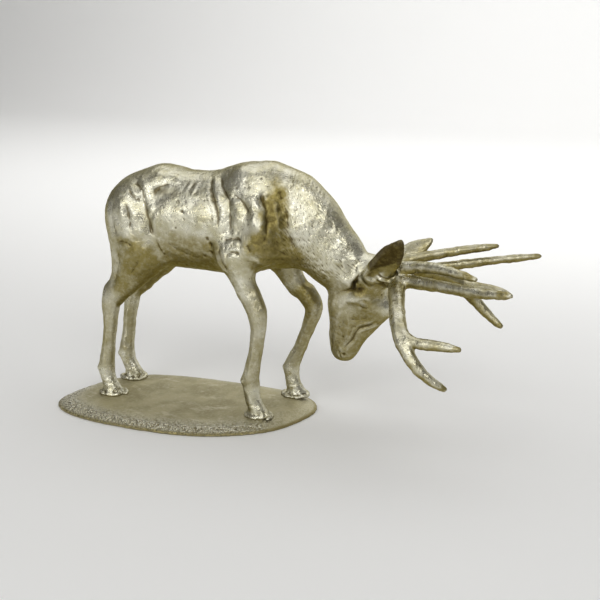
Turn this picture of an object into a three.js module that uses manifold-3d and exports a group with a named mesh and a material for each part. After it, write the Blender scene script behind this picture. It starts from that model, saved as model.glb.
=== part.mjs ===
// A grazing stag on an oblong plate: a cast bronze sculpture for a table.
// Millimetres. +X is the way the stag faces, +Y its left side, +Z up.
// The origin is the middle of the plate's underside.

import * as THREE from 'three';
import { mergeVertices } from 'three/addons/utils/BufferGeometryUtils.js';
import Module from 'manifold-3d';

const wasm = await Module();
wasm.setup();

// ---------------------------------------------------------------- driving dimensions

// The plate.
const plateLength = 256;
const plateWidth = 154;
const plateThickness = 8;
const rimWidth = 19;
const lipHeight = 2.4;
const lipWidth = 1.6;
const plateSides = 48;
const roundness = 0.74;      // 1 would make the outline an ellipse, 0 an oblong
const frontCut = 6;          // how much shorter the plate is before its middle than behind it
const plateSkew = 0.32;      // how far the left long side is shifted forward of the right one, per mm

// The stag on the plate.
const stagOffset = 17.5;     // how far the stag's middle stands to the left of the plate's middle
const seat = 0.3;            // height of the hooves over the plate's face
const headTurn = 4;          // degrees that the head is turned to its right
const headRoll = 3;          // degrees that its left side is lifted
const poll = [188, 0, 150];  // the point of the neck's end that the head turns about

// Surface sizes.
const bodyCell = 8.6;        // spacing of the skin over the trunk, neck and thighs
const headCell = 5.7;        // spacing of the skin over the head
const skinMargin = 9;        // room left round the flesh for its skin
const bodyBlend = 11;        // how softly one muscle runs into the next
const headBlend = 6;
const bodyFurrowBlend = 5;   // how softly a furrow's edges are rounded
const headFurrowBlend = 3;
const legSides = 8;
const sliver = 0.35;         // shortest edge that is kept where two forms join
const antlerSides = 8;

// ---------------------------------------------------------------- colours

const silverBronze = new THREE.MeshStandardMaterial({ color: 0xb9b49c, roughness: 0.36, metalness: 1 });
const dullBronze = new THREE.MeshStandardMaterial({ color: 0x8f8a70, roughness: 0.52, metalness: 1 });

// ---------------------------------------------------------------- solids and joins

function toManifold(geometry) {
  const bare = geometry.clone();
  bare.deleteAttribute('normal');
  bare.deleteAttribute('uv');
  const merged = mergeVertices(bare, 1e-4);
  const mesh = new wasm.Mesh({
    numProp: 3,
    vertProperties: new Float32Array(merged.attributes.position.array),
    triVerts: new Uint32Array(merged.index.array),
  });
  return new wasm.Manifold(mesh);
}

function toGeometry(manifold) {
  const mesh = manifold.getMesh();
  const geometry = new THREE.BufferGeometry();
  geometry.setAttribute('position', new THREE.BufferAttribute(mesh.vertProperties, 3));
  geometry.setIndex(new THREE.BufferAttribute(mesh.triVerts, 1));
  geometry.computeVertexNormals();
  return geometry;
}

function joined(geometries) {
  return geometries.map(toManifold).reduce((whole, piece) => whole.add(piece));
}

// Joining leaves slivers along the seams. Edges under the limit are drawn together,
// a pair of points at a time, wherever that keeps the surface closed.
function withoutSlivers(geometry, shortest) {
  const position = geometry.attributes.position;
  const points = [];
  for (let i = 0; i < position.count; i++) points.push(new THREE.Vector3().fromBufferAttribute(position, i));
  let faces = [];
  for (let i = 0; i < geometry.index.count; i += 3) {
    faces.push([0, 1, 2].map((k) => geometry.index.getX(i + k)));
  }
  let drawn = true;
  while (drawn) {
    drawn = false;
    const neighbours = points.map(() => new Set());
    for (const [a, b, c] of faces) {
      for (const [p, q] of [[a, b], [b, c], [c, a]]) {
        neighbours[p].add(q);
        neighbours[q].add(p);
      }
    }
    const held = new Set();
    const goesTo = points.map((_, i) => i);
    for (const [a, b, c] of faces) {
      for (const [p, q] of [[a, b], [b, c], [c, a]]) {
        if (points[p].distanceTo(points[q]) >= shortest || held.has(p) || held.has(q)) continue;
        const shared = [...neighbours[p]].filter((n) => neighbours[q].has(n));
        if (shared.length !== 2) continue;
        for (const n of [...neighbours[p], ...neighbours[q]]) held.add(n);
        points[p].lerp(points[q], 0.5);
        goesTo[q] = p;
        drawn = true;
      }
    }
    faces = faces.map((face) => face.map((i) => goesTo[i]))
      .filter(([a, b, c]) => a !== b && b !== c && c !== a);
  }
  const result = new THREE.BufferGeometry().setFromPoints(points);
  result.setIndex(faces.flat());
  return result;
}

// ---------------------------------------------------------------- flesh

// A muscle is a tapering rod from one point to another with a round end at each,
// flattened sideways by flat. Points are forward, outward, up from the plate's face.
function muscle(from, to, fromRadius, toRadius, flat = 1) {
  return { from, to, fromRadius, toRadius, flat };
}

function bothSides(from, to, fromRadius, toRadius, flat = 1) {
  const mirror = ([forward, outward, up]) => [forward, -outward, up];
  return [
    muscle(from, to, fromRadius, toRadius, flat),
    muscle(mirror(from), mirror(to), fromRadius, toRadius, flat),
  ];
}

function muscleDistance(m, x, y, z) {
  const ax = m.from[0];
  const ay = m.from[1];
  const az = m.from[2];
  const bx = m.to[0] - ax;
  const by = (m.to[1] - ay) / m.flat;
  const bz = m.to[2] - az;
  const px = x - ax;
  const py = (y - ay) / m.flat;
  const pz = z - az;
  const along = (px * bx + py * by + pz * bz) / (bx * bx + by * by + bz * bz);
  const t = Math.min(1, Math.max(0, along));
  const radius = m.fromRadius + t * (m.toRadius - m.fromRadius);
  return Math.hypot(px - t * bx, py - t * by, pz - t * bz) - radius;
}

function softMin(a, b, blend) {
  const h = Math.max(blend - Math.abs(a - b), 0) / blend;
  return Math.min(a, b) - (h * h * blend) / 4;
}

// The field is negative inside the flesh: muscles blended, then furrows pressed in.
function fleshField(muscles, furrows, blend, furrowBlend) {
  return (x, y, z) => {
    let distance = Infinity;
    for (const m of muscles) {
      distance = softMin(distance, muscleDistance(m, x, y, z), blend);
    }
    for (const f of furrows) {
      distance = -softMin(-distance, muscleDistance(f, x, y, z), furrowBlend);
    }
    return distance;
  };
}

function boxOf(muscles, margin) {
  const box = new THREE.Box3();
  for (const m of muscles) {
    const reach = Math.max(m.fromRadius, m.toRadius) + margin;
    for (const end of [m.from, m.to]) {
      const centre = new THREE.Vector3(...end);
      box.expandByPoint(centre.clone().addScalar(reach));
      box.expandByPoint(centre.clone().addScalar(-reach));
    }
  }
  return box;
}

// The skin is the surface where the field is zero, as a net with one knot to each
// grid cell that the surface crosses, each knot drawn onto the surface.
function skin(field, box, cell) {
  const size = box.getSize(new THREE.Vector3());
  const count = [size.x, size.y, size.z].map((length) => Math.ceil(length / cell) + 1);
  const [nx, ny, nz] = count;
  const at = (i, j, k) => i + nx * (j + ny * k);
  const values = new Float64Array(nx * ny * nz);
  for (let k = 0; k < nz; k++) {
    for (let j = 0; j < ny; j++) {
      for (let i = 0; i < nx; i++) {
        const value = field(box.min.x + i * cell, box.min.y + j * cell, box.min.z + k * cell);
        values[at(i, j, k)] = value === 0 ? 1e-9 : value;
      }
    }
  }

  const knots = [];
  const knotOf = new Int32Array(nx * ny * nz).fill(-1);
  const corners = [];
  for (let c = 0; c < 8; c++) corners.push([c & 1, (c >> 1) & 1, (c >> 2) & 1]);
  const edges = [];
  for (let a = 0; a < 8; a++) {
    for (const bit of [1, 2, 4]) if (!(a & bit)) edges.push([a, a | bit]);
  }
  for (let k = 0; k < nz - 1; k++) {
    for (let j = 0; j < ny - 1; j++) {
      for (let i = 0; i < nx - 1; i++) {
        const sum = new THREE.Vector3();
        let crossings = 0;
        for (const [a, b] of edges) {
          const ca = corners[a];
          const cb = corners[b];
          const va = values[at(i + ca[0], j + ca[1], k + ca[2])];
          const vb = values[at(i + cb[0], j + cb[1], k + cb[2])];
          if (va < 0 === vb < 0) continue;
          const t = va / (va - vb);
          sum.x += i + ca[0] + t * (cb[0] - ca[0]);
          sum.y += j + ca[1] + t * (cb[1] - ca[1]);
          sum.z += k + ca[2] + t * (cb[2] - ca[2]);
          crossings += 1;
        }
        if (crossings === 0) continue;
        knotOf[at(i, j, k)] = knots.length;
        const knot = sum.multiplyScalar(cell / crossings).add(box.min);
        knots.push(drawnOnto(field, knot, cell));
      }
    }
  }

  const index = [];
  const steps = [[1, 0, 0], [0, 1, 0], [0, 0, 1]];
  for (let k = 1; k < nz - 1; k++) {
    for (let j = 1; j < ny - 1; j++) {
      for (let i = 1; i < nx - 1; i++) {
        for (let axis = 0; axis < 3; axis++) {
          const s = steps[axis];
          const inside = values[at(i, j, k)] < 0;
          if (inside === values[at(i + s[0], j + s[1], k + s[2])] < 0) continue;
          const u = steps[(axis + 1) % 3];
          const v = steps[(axis + 2) % 3];
          const quad = [[0, 0], [1, 0], [1, 1], [0, 1]].map(([a, b]) =>
            knotOf[at(i - a * u[0] - b * v[0], j - a * u[1] - b * v[1], k - a * u[2] - b * v[2])]);
          if (!inside) quad.reverse();
          const [p, q, r, w] = quad;
          if (knots[p].distanceTo(knots[r]) < knots[q].distanceTo(knots[w])) {
            index.push(p, q, r, p, r, w);
          } else {
            index.push(q, r, w, q, w, p);
          }
        }
      }
    }
  }
  const geometry = new THREE.BufferGeometry().setFromPoints(knots);
  geometry.setIndex(index);
  return geometry;
}

function drawnOnto(field, knot, cell) {
  const nudge = 0.25;
  const start = knot.clone();
  for (let pass = 0; pass < 3; pass++) {
    const { x, y, z } = knot;
    const slope = new THREE.Vector3(
      field(x + nudge, y, z) - field(x - nudge, y, z),
      field(x, y + nudge, z) - field(x, y - nudge, z),
      field(x, y, z + nudge) - field(x, y, z - nudge),
    ).divideScalar(2 * nudge);
    knot.addScaledVector(slope, -field(x, y, z) / Math.max(slope.lengthSq(), 0.25));
  }
  const drift = knot.clone().sub(start).clampLength(0, cell / 2);
  return start.add(drift);
}

// ---------------------------------------------------------------- drawn-out forms

// A tapering tube along a smooth curve. Each station is a point with the half width
// along the side axis and the half depth across it; the ends are closed.
function tube(stations, sides, steps, sideAxis) {
  const path = new THREE.CatmullRomCurve3(stations.map((s) => new THREE.Vector3(...s.at)));
  const sizes = new THREE.CatmullRomCurve3(stations.map((s) => new THREE.Vector3(s.side, s.deep ?? s.side, 0)));
  const geometry = new THREE.CylinderGeometry(1, 1, 1, sides, steps);
  const position = geometry.attributes.position;
  const reference = new THREE.Vector3(...sideAxis);
  for (let i = 0; i < position.count; i++) {
    const t = Math.min(1, Math.max(0, position.getY(i) + 0.5));
    const centre = path.getPoint(t);
    const tangent = path.getTangent(t);
    const size = sizes.getPoint(t);
    const side = reference.clone().addScaledVector(tangent, -reference.dot(tangent)).normalize();
    const deep = side.clone().cross(tangent);
    centre.addScaledVector(side, position.getX(i) * size.x);
    centre.addScaledVector(deep, position.getZ(i) * size.y);
    position.setXYZ(i, centre.x, centre.y, centre.z);
  }
  return geometry;
}

function station(forward, outward, up, side, deep) {
  return { at: [forward, outward, up], side, deep };
}

// ---------------------------------------------------------------- trunk, neck and thighs

// Points of the near (right) legs are given with the leg's own outward side first;
// the fore legs differ, because the left one is bent at the knee.
const trunkMuscles = [
  // barrel and belly
  muscle([-20, 0, 190], [60, 0, 191], 46, 47, 0.84),
  muscle([-12, 0, 172], [48, 0, 174], 38, 41, 0.86),
  // croup, rump and tail
  muscle([-30, 0, 200], [-56, 0, 191], 41, 33, 0.86),
  muscle([-56, 0, 204], [-65, 0, 197], 27, 26, 0.9),
  muscle([-66, 0, 180], [-74, 0, 164], 22, 15, 0.9),
  muscle([-85, 0, 200], [-90, 0, 158], 7, 6, 1),
  // withers and chest
  muscle([48, 0, 217], [88, 0, 218], 24, 30, 0.72),
  muscle([88, 0, 218], [112, 0, 210], 30, 33, 0.72),
  muscle([58, 0, 166], [100, 0, 172], 24, 27, 0.9),
  // neck
  muscle([84, 0, 198], [126, 0, 187], 46, 36, 0.74),
  muscle([126, 0, 187], [153, 0, 162], 36, 29, 0.76),
  muscle([153, 0, 162], [170, 0, 142], 29, 24, 0.8),
  // thighs and gaskins
  ...bothSides([-52, 21, 194], [-46, 25, 158], 32, 27, 0.74),
  ...bothSides([-64, 20, 182], [-68, 22, 140], 21, 13, 0.8),
  ...bothSides([-42, 25, 152], [-78, 28, 103], 25, 10.5, 0.62),
  ...bothSides([-84, 27, 118], [-89, 28, 103], 4, 5, 0.8),
  // shoulders and upper arms
  ...bothSides([72, 18, 226], [92, 29, 190], 17, 17, 0.8),
  ...bothSides([92, 29, 190], [86, 31, 172], 18, 17, 0.84),
];

// The right foreleg stands straight; the left foreleg is bent and reaches forward.
trunkMuscles.push(
  muscle([88, -30, 172], [60, -32, 160], 17, 15, 0.8),
  muscle([62, -32, 160], [76, -33, 126], 17, 12.5, 0.74),
  muscle([92, 30, 172], [84, 30, 152], 17, 15, 0.8),
  muscle([80, 30, 153], [103, 33, 117], 17, 12, 0.74),
);

const trunkFurrows = [
  // the hollow before the hip bone, and the fold down the front of the thigh
  ...bothSides([-2, 36, 222], [-26, 38, 214], 6, 8),
  ...bothSides([-44, 40, 224], [-28, 48, 190], 7, 8),
  ...bothSides([-28, 48, 190], [-12, 45, 158], 8, 7),
  // the fold behind the shoulder blade, and the one across it
  ...bothSides([46, 34, 234], [54, 47, 200], 6, 7),
  ...bothSides([54, 47, 200], [52, 48, 182], 7, 6),
  ...bothSides([68, 42, 218], [82, 46, 200], 4, 5),
  // the groove between shoulder and neck
  ...bothSides([106, 34, 230], [112, 39, 200], 6, 8),
  ...bothSides([112, 39, 200], [114, 36, 172], 8, 6),
];

// ---------------------------------------------------------------- head

const headMuscles = [
  // skull and face
  muscle([187, 0, 146], [183, 0, 128], 22, 22, 0.86),
  muscle([182, 0, 126], [163, 0, 72], 24, 13, 0.78),
  muscle([200, 0, 114], [167, 0, 73], 12, 9, 1),
  // jaw and chin
  ...bothSides([163, 9, 122], [160, 6, 88], 15, 11, 0.8),
  muscle([156, 0, 84], [156, 0, 65], 10, 9, 0.95),
  // muzzle
  muscle([164, 0, 70], [163, 0, 66], 12, 11.5, 0.95),
  // brows and the seats of the antlers
  ...bothSides([186, 16, 134], [196, 14, 120], 7, 6),
  ...bothSides([194, 8, 148], [212, 13, 154], 11, 9),
];

const headFurrows = [
  // eye sockets and the line of the nose
  ...bothSides([188, 24, 119], [194, 22, 112], 4, 3),
  ...bothSides([196, 17, 104], [178, 15, 84], 2.5, 2.5),
];

// ---------------------------------------------------------------- ears

// A leaf-shaped ear: full in the middle, hollowed on the side that faces outward.
const hollowOffset = 4.5;    // from the ear's middle to the middle of its hollow

function ear(base, tip, hollowSide) {
  const along = new THREE.Vector3(...tip).sub(new THREE.Vector3(...base));
  const widths = [[0, 8], [0.3, 12.5], [0.6, 11.5], [0.85, 7], [1, 1.8]];
  const thicknesses = [6, 5, 4, 3, 1.6];
  const leaf = widths.map(([t, width], i) => {
    const at = new THREE.Vector3(...base).addScaledVector(along, t);
    return { at: at.toArray(), side: thicknesses[i], deep: width };
  });
  const hollow = widths.slice(0, 4).map(([t, width], i) => {
    const at = new THREE.Vector3(...base).addScaledVector(along, t * 0.9 + 0.08);
    at.addScaledVector(new THREE.Vector3(...hollowSide), hollowOffset);
    return { at: at.toArray(), side: thicknesses[i] * 0.8, deep: width * 0.66 };
  });
  const shell = toManifold(tube(leaf, 8, 5, hollowSide));
  return shell.subtract(toManifold(tube(hollow, 6, 4, hollowSide)));
}

// ---------------------------------------------------------------- antlers

// One antler, with outward positive; side is 1 on the left and -1 on the right.
// The main beam sweeps out, forward and down to a fork. Two long tines run forward from
// the seat, close together at first. Each rod is a list of points, from thick to thin.
// The stag's two antlers differ a little: the left tines are thinner by leftThinness, and
// the right long tine hangs lower, by rightDrop at its tip.
const seatRadius = 11;
const beamRadius = 7.7;
const tineRadius = 5;
const upperTineRadius = 6.4;
const tipRadius = 3.2;
const tipRounding = 0.55;    // how far a tip narrows over its last stretch

const antlerRods = [
  {
    // main beam, down into the lower prong of the fork
    points: [[204, 9, 150], [220, 13, 152], [227, 27, 145], [236, 51, 139], [247, 75, 126], [258, 88, 112],
      [272, 91, 96], [284, 89, 86], [295, 86, 80]],
    radii: [seatRadius, beamRadius + 1.8, beamRadius, beamRadius, beamRadius, beamRadius - 0.7,
      tineRadius + 0.4, tineRadius - 0.3, tipRadius],
  },
  {
    // upper prong of the fork
    points: [[246, 73, 127], [256, 82, 119], [276, 86, 119], [292, 88, 120], [308, 89, 120]],
    radii: [beamRadius - 0.7, tineRadius + 1, tineRadius, tineRadius - 0.6, tipRadius],
  },
  {
    // long tine
    points: [[206, 10, 151], [222, 15, 151], [240, 20, 153], [268, 32, 157], [300, 47, 161], [324, 57, 163.5],
      [336, 61, 165]],
    radii: [seatRadius, upperTineRadius + 1.4, upperTineRadius + 0.3, upperTineRadius - 0.6, tineRadius + 0.4,
      tineRadius - 0.4, tipRadius],
    leftThinness: 0.8,
    rightDrop: 4,
  },
  {
    // short tine over it
    points: [[208, 11, 156], [224, 14, 162], [240, 19, 166], [262, 28, 170], [284, 40, 173], [300, 47, 174.5]],
    radii: [seatRadius - 2, upperTineRadius + 0.6, upperTineRadius - 0.4, upperTineRadius - 0.9,
      tineRadius - 0.4, tipRadius],
    leftThinness: 0.84,
  },
];

function antlerRod({ points, radii, leftThinness = 1, rightDrop = 0 }, side) {
  const heft = side > 0 ? leftThinness : 1;
  const drop = side > 0 ? 0 : rightDrop;
  const stations = points.map(([forward, outward, up], i) => {
    const lowered = up - (drop * i) / (points.length - 1);
    return station(forward, side * outward, lowered, radii[i] * heft);
  });
  const [before, last] = stations.slice(-2);
  const run = new THREE.Vector3(...last.at).sub(new THREE.Vector3(...before.at));
  const end = new THREE.Vector3(...last.at).add(run.setLength(last.side * tipRounding));
  stations.push({ at: end.toArray(), side: last.side * tipRounding });
  return tube(stations, antlerSides, stations.length, [0, 0, 1]);
}

function antler(side) {
  return joined(antlerRods.map((rod) => antlerRod(rod, side)));
}

// ---------------------------------------------------------------- lower legs

// A lower leg from inside the knee or hock down to the sole, flaring into the hoof.
const hoofLength = 25;
const hoofWidth = 20;
const hoofHeight = 12;
const cleftWidth = 1.8;
const cleftSlope = 0.35;     // radians that the cleft leans back from the toe

function lowerLegTube({ points, hoofAt }) {
  const stations = points.map(([forward, outward, up, deep, side]) => station(forward, outward, up, side, deep));
  const [forward, outward] = hoofAt;
  stations.push(station(forward - 2.5, outward, hoofHeight, hoofWidth * 0.42, hoofLength * 0.36));
  stations.push(station(forward + 1, outward, -1, hoofWidth / 2, hoofLength / 2));
  return tube(stations, legSides, stations.length + 2, [0, 1, 0]);
}

// The cleft between the two claws of a hoof, to be cut from the toe backward.
function cleft([forward, outward]) {
  const wedge = new THREE.BoxGeometry(hoofLength / 2, cleftWidth, 3 * hoofHeight);
  wedge.rotateY(-cleftSlope);
  wedge.translate(forward + hoofLength * 0.52, outward, hoofHeight * 0.3);
  return wedge;
}

// The two small claws behind a fetlock point down and apart.
const dewRadius = 3.6;
const dewLength = 9;
const dewSpread = 4.2;
const dewBehind = 5.5;

function dewClaws(forward, outward, up) {
  return [-1, 1].map((side) => {
    const claw = new THREE.ConeGeometry(dewRadius, dewLength, 5);
    claw.rotateX(Math.PI);
    claw.rotateY(0.6 * side);
    claw.translate(forward - dewBehind, outward + side * dewSpread, up - 1.5);
    return claw;
  });
}

// The beads of braze that fix a hoof to the plate, spread round it.
const beadCount = 5;
const beadRadius = 5.2;
const beadVariety = 0.22;    // how far the beads differ in size
const beadReach = 0.46;      // how far out they lie, in hoof lengths and widths
const beadHeight = 1.2;

function beads(forward, outward, turn) {
  const list = [];
  for (let n = 0; n < beadCount; n++) {
    const angle = turn + (n * 2 * Math.PI) / beadCount;
    const radius = beadRadius * (1 + beadVariety * Math.sin(3 * n + turn));
    const bead = new THREE.IcosahedronGeometry(radius, 0);
    bead.scale(1.15, 1, 0.85);
    bead.translate(
      forward + 1 + beadReach * hoofLength * Math.cos(angle),
      outward + beadReach * hoofWidth * Math.sin(angle),
      beadHeight,
    );
    list.push(bead);
  }
  return list;
}

const legs = [
  {
    // right hind
    points: [[-74, -28, 112, 12, 9], [-82, -28, 99, 11.5, 8.6], [-82, -29, 84, 8, 7.2], [-84, -30, 64, 7.2, 6.6],
      [-87, -30, 44, 7.4, 6.8], [-89, -31, 29, 9.4, 8.4], [-87, -32, 17, 7.8, 7.8]],
    hoofAt: [-83, -32],
    dewAt: [-91, -31, 29],
  },
  {
    // left hind
    points: [[-78, 26, 112, 12, 9], [-87, 25, 98, 11.5, 8.6], [-89, 24, 82, 8, 7.2], [-91, 22, 62, 7.2, 6.6],
      [-93, 21, 44, 7.4, 6.8], [-95, 20, 28, 9.4, 8.4], [-92, 20, 17, 7.8, 7.8]],
    hoofAt: [-87, 20],
    dewAt: [-97, 20, 28],
  },
  {
    // right fore, straight
    points: [[76, -33, 128, 12.5, 9.4], [84, -34, 114, 11.5, 9], [87, -34, 104, 11, 8.8], [87, -34, 86, 7.4, 6.8],
      [83, -34, 62, 7.2, 6.6], [78, -34, 38, 9.4, 8.4], [82, -34, 20, 7.8, 7.8]],
    hoofAt: [88, -34],
    dewAt: [76, -34, 38],
  },
  {
    // left fore, bent at the knee
    points: [[107, 33, 118, 12, 9.4], [118, 34, 102, 11, 9], [119, 34, 94, 10, 8.4], [111, 35, 72, 7, 6.6],
      [102, 36, 50, 7, 6.6], [93, 37, 32, 9, 8.2], [94, 36, 19, 7.8, 7.8]],
    hoofAt: [98, 35],
    dewAt: [91, 37, 31],
  },
];

function lowerLeg(leg, n) {
  const limb = joined([lowerLegTube(leg), ...dewClaws(...leg.dewAt)]);
  return joined(beads(...leg.hoofAt, 0.5 * n)).add(limb.subtract(toManifold(cleft(leg.hoofAt))));
}

// ---------------------------------------------------------------- the stag

function stagGeometry() {
  const trunkField = fleshField(trunkMuscles, trunkFurrows, bodyBlend, bodyFurrowBlend);
  const headField = fleshField(headMuscles, headFurrows, headBlend, headFurrowBlend);
  const trunk = skin(trunkField, boxOf(trunkMuscles, skinMargin), bodyCell);
  const head = skin(headField, boxOf(headMuscles, skinMargin), headCell);

  const crown = joined([head])
    .add(ear([194, -18, 147], [235, -41, 195], [0.35, -0.9, -0.2]))
    .add(ear([198, 18, 150], [237, 43, 176], [0.35, 0.9, -0.2]))
    .add(antler(1))
    .add(antler(-1));
  const crownGeometry = toGeometry(crown);
  crownGeometry.translate(-poll[0], -poll[1], -poll[2]);
  crownGeometry.rotateX(THREE.MathUtils.degToRad(headRoll));
  crownGeometry.rotateZ(THREE.MathUtils.degToRad(-headTurn));
  crownGeometry.translate(...poll);

  const whole = legs.map(lowerLeg).reduce((all, leg) => all.add(leg), joined([trunk, crownGeometry]));
  const below = new THREE.BoxGeometry(3 * plateLength, 3 * plateLength, 40);
  below.translate(0, 0, -20 + seat);
  return withoutSlivers(toGeometry(whole.subtract(toManifold(below))), sliver);
}

// ---------------------------------------------------------------- the plate

// The outline is a rounded oblong, a little narrower at its far left corner, with a
// slow wave as a plate cast in sand has.
function plateOutline(inset) {
  const points = [];
  for (let n = 0; n < plateSides; n++) {
    const angle = (n * 2 * Math.PI) / plateSides;
    const c = Math.cos(angle);
    const s = Math.sin(angle);
    const wave = 1.2 * Math.sin(3 * angle + 0.6) + 0.8 * Math.sin(5 * angle + 2);
    const reach = plateLength / 2 - (c > 0 ? frontCut : 0);
    const x = Math.sign(c) * Math.abs(c) ** roundness * (reach - inset + wave);
    const y = Math.sign(s) * Math.abs(s) ** roundness * (plateWidth / 2 - inset + wave);
    points.push(new THREE.Vector2(x + plateSkew * y, y));
  }
  return points;
}

function plateGeometry() {
  const levels = [
    { inset: 0, z: 0 },
    { inset: 0, z: lipHeight },
    { inset: lipWidth, z: lipHeight + 0.4 },
    { inset: lipWidth + rimWidth * 0.45, z: plateThickness - 1.6 },
    { inset: rimWidth, z: plateThickness },
  ];
  const points = [];
  for (const level of levels) {
    for (const p of plateOutline(level.inset)) points.push(new THREE.Vector3(p.x, p.y, level.z));
  }
  const index = [];
  for (let l = 0; l < levels.length - 1; l++) {
    for (let n = 0; n < plateSides; n++) {
      const a = l * plateSides + n;
      const b = l * plateSides + ((n + 1) % plateSides);
      index.push(a, b, b + plateSides, a, b + plateSides, a + plateSides);
    }
  }
  const cap = (start, up) => {
    const faces = THREE.ShapeUtils.triangulateShape(points.slice(start, start + plateSides)
      .map((p) => new THREE.Vector2(p.x, p.y)), []);
    for (const [a, b, c] of faces) index.push(start + a, start + (up ? b : c), start + (up ? c : b));
  };
  cap(0, false);
  cap((levels.length - 1) * plateSides, true);
  const geometry = new THREE.BufferGeometry().setFromPoints(points);
  geometry.setIndex(index);
  return geometry;
}

// ---------------------------------------------------------------- the sculpture

const sculpture = new THREE.Group();

const stag = new THREE.Mesh(stagGeometry(), silverBronze);
stag.name = 'stag';
stag.position.set(0, stagOffset, plateThickness);
sculpture.add(stag);

const plate = new THREE.Mesh(plateGeometry(), dullBronze);
plate.name = 'base';
sculpture.add(plate);

export default sculpture;
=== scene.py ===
import math

import bpy
import numpy as np
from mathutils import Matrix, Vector


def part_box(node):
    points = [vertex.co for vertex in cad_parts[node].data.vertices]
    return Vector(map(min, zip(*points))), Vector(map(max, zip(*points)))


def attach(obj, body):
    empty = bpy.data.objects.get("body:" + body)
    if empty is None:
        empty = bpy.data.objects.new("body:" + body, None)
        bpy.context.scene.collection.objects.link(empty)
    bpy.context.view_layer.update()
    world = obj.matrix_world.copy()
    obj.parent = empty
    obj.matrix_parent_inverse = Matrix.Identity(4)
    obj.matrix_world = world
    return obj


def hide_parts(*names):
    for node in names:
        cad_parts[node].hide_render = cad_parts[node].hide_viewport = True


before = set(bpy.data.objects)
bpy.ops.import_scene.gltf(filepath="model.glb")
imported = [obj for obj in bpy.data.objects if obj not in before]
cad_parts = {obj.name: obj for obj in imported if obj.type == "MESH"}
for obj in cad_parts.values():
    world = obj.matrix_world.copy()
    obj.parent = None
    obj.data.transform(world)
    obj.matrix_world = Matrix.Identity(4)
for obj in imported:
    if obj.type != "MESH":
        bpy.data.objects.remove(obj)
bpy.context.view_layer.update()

# ------------------------------------------------------------------ The stag
# One casting in pale bronze: trunk, legs, bent neck, head and antlers in a single piece.
# Cast in sand, then chased by hand: creases cut between the muscles, short strokes for the
# coat of the neck, and the hooves held to the plate by lumps of braze.

STAG_GRAIN = 0.00108            # edge of the small squares that the surface is modelled in
STAG_TRIANGLES = 196000
PLATE_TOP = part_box("base")[1].z
MIDDLE = 0.0175                 # how far the stag's own middle stands left of the plate's


def copy_of(node, name):
    """A merged copy of a frame node as a new piece. The node itself stays as it is."""
    bpy.ops.object.select_all(action="DESELECT")
    piece = bpy.data.objects.new(name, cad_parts[node].data.copy())
    piece.data.name = name
    piece.data.materials.clear()
    bpy.context.collection.objects.link(piece)
    bpy.context.view_layer.objects.active = piece
    piece.select_set(True)
    bpy.ops.object.mode_set(mode="EDIT")
    bpy.ops.mesh.select_all(action="SELECT")
    bpy.ops.mesh.remove_doubles(threshold=0.00001)
    bpy.ops.mesh.tris_convert_to_quads()
    bpy.ops.object.mode_set(mode="OBJECT")
    return piece


def modify(piece, kind, **settings):
    """Adds one modifier to the active piece and applies it."""
    modifier = piece.modifiers.new(kind.title(), kind)
    for name, value in settings.items():
        setattr(modifier, name, value)
    bpy.ops.object.modifier_apply(modifier=modifier.name)


def thin_out(piece, most_triangles):
    """Takes the active piece down to the given number of triangles and shades it smooth."""
    triangles = sum(len(face.vertices) - 2 for face in piece.data.polygons)
    modify(piece, "DECIMATE", ratio=min(1.0, most_triangles / triangles))
    bpy.ops.object.shade_smooth()


def read(items, field, width, kind=np.float32):
    """One row of numbers for each point or edge of a mesh."""
    flat = np.empty(len(items) * width, kind)
    items.foreach_get(field, flat)
    return flat.reshape(-1, width)


def places(piece):
    """Every point of the piece: forward, outward to the stag's left, and up from the plate, in mm."""
    return (read(piece.data.vertices, "co", 3).astype(float) - [0, MIDDLE, PLATE_TOP]) * 1000


def put_back(piece, points):
    moved = points / 1000 + [0, MIDDLE, PLATE_TOP]
    piece.data.vertices.foreach_set("co", moved.astype(np.float32).ravel())
    piece.data.update()


def relaxed(values, edges, softness, rounds):
    """Draws each row of values towards the mean of its neighbours, as far as softness says."""
    softness = np.reshape(softness, (-1, 1))
    count = np.maximum(np.bincount(edges.ravel(), minlength=len(values)), 1)
    first, second = edges[:, 0], edges[:, 1]
    for _ in range(rounds):
        mean = np.empty_like(values)
        for column in range(values.shape[1]):
            row = values[:, column]
            total = np.bincount(first, weights=row[second], minlength=len(row))
            total += np.bincount(second, weights=row[first], minlength=len(row))
            mean[:, column] = total / count
        values = values + softness * (mean - values)
    return values


def step(value, start, end):
    """0 at start, 1 at end, and a soft curve between."""
    t = np.clip((value - start) / (end - start), 0, 1)
    return t * t * (3 - 2 * t)


def chance(cells, seed):
    """A fixed number from 0 to 1 for each row of whole numbers."""
    mixed = np.full(len(cells), seed * 668265263 + 374761393, np.uint64)
    for column in range(cells.shape[1]):
        part = cells[:, column].astype(np.int64).astype(np.uint64)
        mixed = (mixed ^ (part * np.uint64(0x9E3779B97F4A7C15))) * np.uint64(0xC2B2AE3D27D4EB4F)
        mixed ^= mixed >> np.uint64(29)
    return (mixed >> np.uint64(40)).astype(float) / 2.0**24


def noise(points, size, seed):
    """Soft lumps of about the given size, from -1 to 1."""
    scaled = points / size
    corner = np.floor(scaled)
    part = scaled - corner
    part = part * part * (3 - 2 * part)
    total = np.zeros(len(points))
    for shift in np.ndindex(*(2,) * points.shape[1]):
        weight = np.ones(len(points))
        for axis, side in enumerate(shift):
            weight *= part[:, axis] if side else 1 - part[:, axis]
        total += weight * chance(corner + shift, seed)
    return total * 2 - 1


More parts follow.
